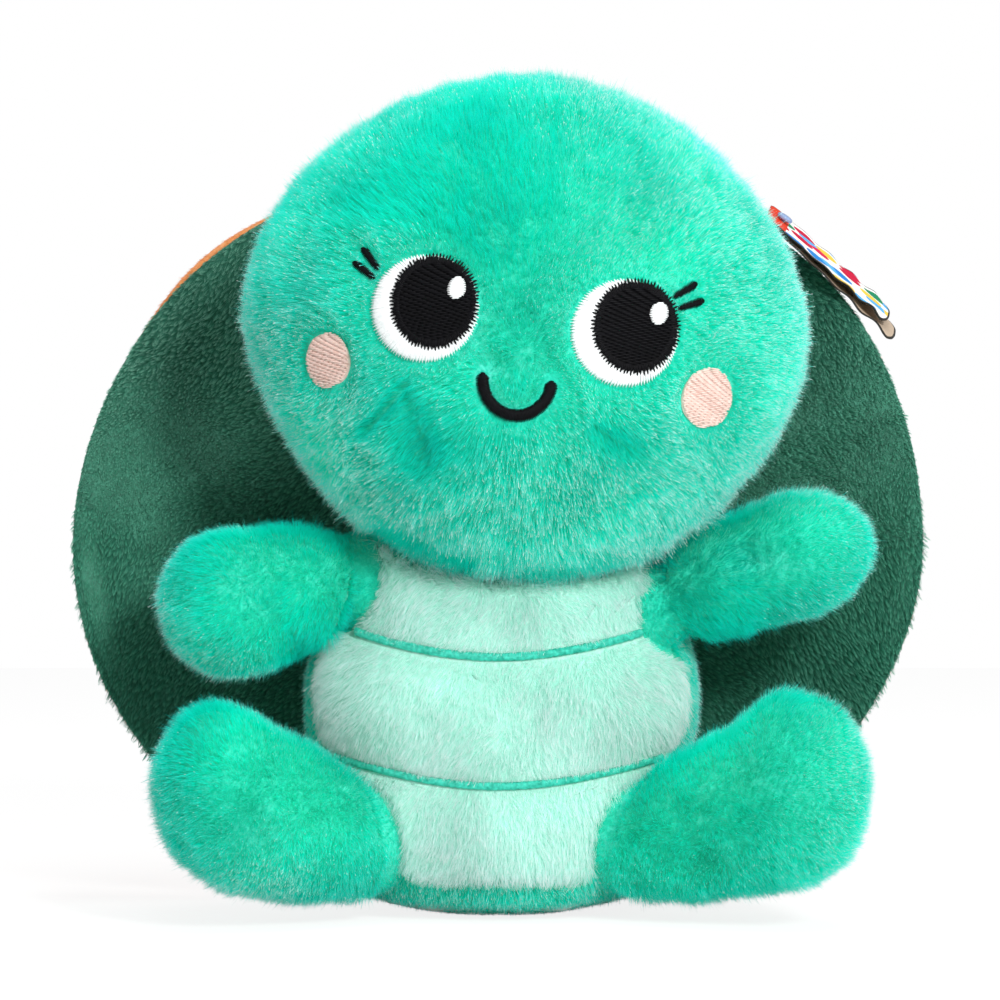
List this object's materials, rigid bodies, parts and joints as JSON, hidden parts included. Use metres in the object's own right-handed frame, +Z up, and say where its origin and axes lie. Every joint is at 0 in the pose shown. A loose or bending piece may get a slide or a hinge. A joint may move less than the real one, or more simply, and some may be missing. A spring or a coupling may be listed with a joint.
{
  "type": "plush turtle",
  "caption": "Sitting plush turtle with a round sprung head, jointed limbs, a quilted belly and a stuffed shell cushion behind it.",
  "frame": {"origin": "middle of the flat seat under the body, on the surface that the toy sits on", "axes": "+Z up, the turtle faces -Y, +X is its own left side"},
  "size_m": [0.2431, 0.1533, 0.23],
  "materials": {
    "teal_plush": "long-pile plush, 6 to 8 mm",
    "mint_plush": "medium-pile plush, about 5 mm",
    "green_plush": "short-pile plush, about 2 mm",
    "orange_plush": "short-pile plush, about 2 mm",
    "fibre_filling": "polyester fibre",
    "pellet_bag": "woven inner bag of plastic pellets",
    "white_thread": "satin-stitch embroidery",
    "black_thread": "satin-stitch embroidery",
    "blush_thread": "satin-stitch embroidery",
    "teal_thread": "satin-stitch embroidery",
    "card": "coated card",
    "tag_plastic": "clear blue plastic"
  },
  "bodies": {
    "root": {"torso": "teal_plush", "torso_filling": "fibre_filling", "pellet_bag": "pellet_bag", "belly_panel": "mint_plush", "belly_line_lower": "teal_thread", "belly_line_upper": "teal_thread", "shell_lining": "green_plush", "shell_cover": "orange_plush", "shell_filling": "fibre_filling", "tag_loop": "tag_plastic"},
    "neck": {"neck_filling": "fibre_filling"},
    "head": {"head": "teal_plush", "head_filling": "fibre_filling", "eye_white_left": "white_thread", "eye_white_right": "white_thread", "pupil_left": "black_thread", "pupil_right": "black_thread", "eye_glint_left": "white_thread", "eye_glint_right": "white_thread", "lash_upper_left": "black_thread", "lash_lower_left": "black_thread", "lash_upper_right": "black_thread", "lash_lower_right": "black_thread", "cheek_left": "blush_thread", "cheek_right": "blush_thread", "mouth": "black_thread"},
    "arm_left": {"arm_left": "teal_plush", "arm_left_filling": "fibre_filling"},
    "arm_right": {"arm_right": "teal_plush", "arm_right_filling": "fibre_filling"},
    "leg_left": {"leg_left": "teal_plush", "leg_left_filling": "fibre_filling"},
    "leg_right": {"leg_right": "teal_plush", "leg_right_filling": "fibre_filling"},
    "tag": {"hang_tag": "card"}
  },
  "joints": [
    {"name": "head_nod", "type": "hinge", "parent": "root", "child": "neck", "pos_m": [0, -0.003, 0.103], "axis": [1, 0, 0], "range_deg": [-8, 4], "stiffness_Nm_per_rad": 0.8},
    {"name": "head_turn", "type": "hinge", "parent": "neck", "child": "head", "pos_m": [0, -0.003, 0.103], "axis": [0.1219, 0, 0.9925], "range_deg": [-20, 20], "stiffness_Nm_per_rad": 0.4},
    {"name": "arm_left_swing", "type": "hinge", "parent": "root", "child": "arm_left", "pos_m": [0.041, -0.009, 0.085], "axis": [0, 0, -1], "range_deg": [-10, 22], "stiffness_Nm_per_rad": 0.1},
    {"name": "arm_right_swing", "type": "hinge", "parent": "root", "child": "arm_right", "pos_m": [-0.037, -0.009, 0.091], "axis": [0, 0, 1], "range_deg": [-10, 22], "stiffness_Nm_per_rad": 0.1},
    {"name": "leg_left_swing", "type": "hinge", "parent": "root", "child": "leg_left", "pos_m": [0.037, -0.019, 0.024], "axis": [0, 0, -1], "range_deg": [-10, 12], "stiffness_Nm_per_rad": 0.15},
    {"name": "leg_right_swing", "type": "hinge", "parent": "root", "child": "leg_right", "pos_m": [-0.037, -0.019, 0.024], "axis": [0, 0, 1], "range_deg": [-10, 12], "stiffness_Nm_per_rad": 0.15},
    {"name": "tag_swivel", "type": "hinge", "parent": "root", "child": "tag", "pos_m": [0.08383, 0.06314, 0.19733], "axis": [0.5466, -0.2079, 0.8112], "range_deg": [-25, 25]}
  ]
}
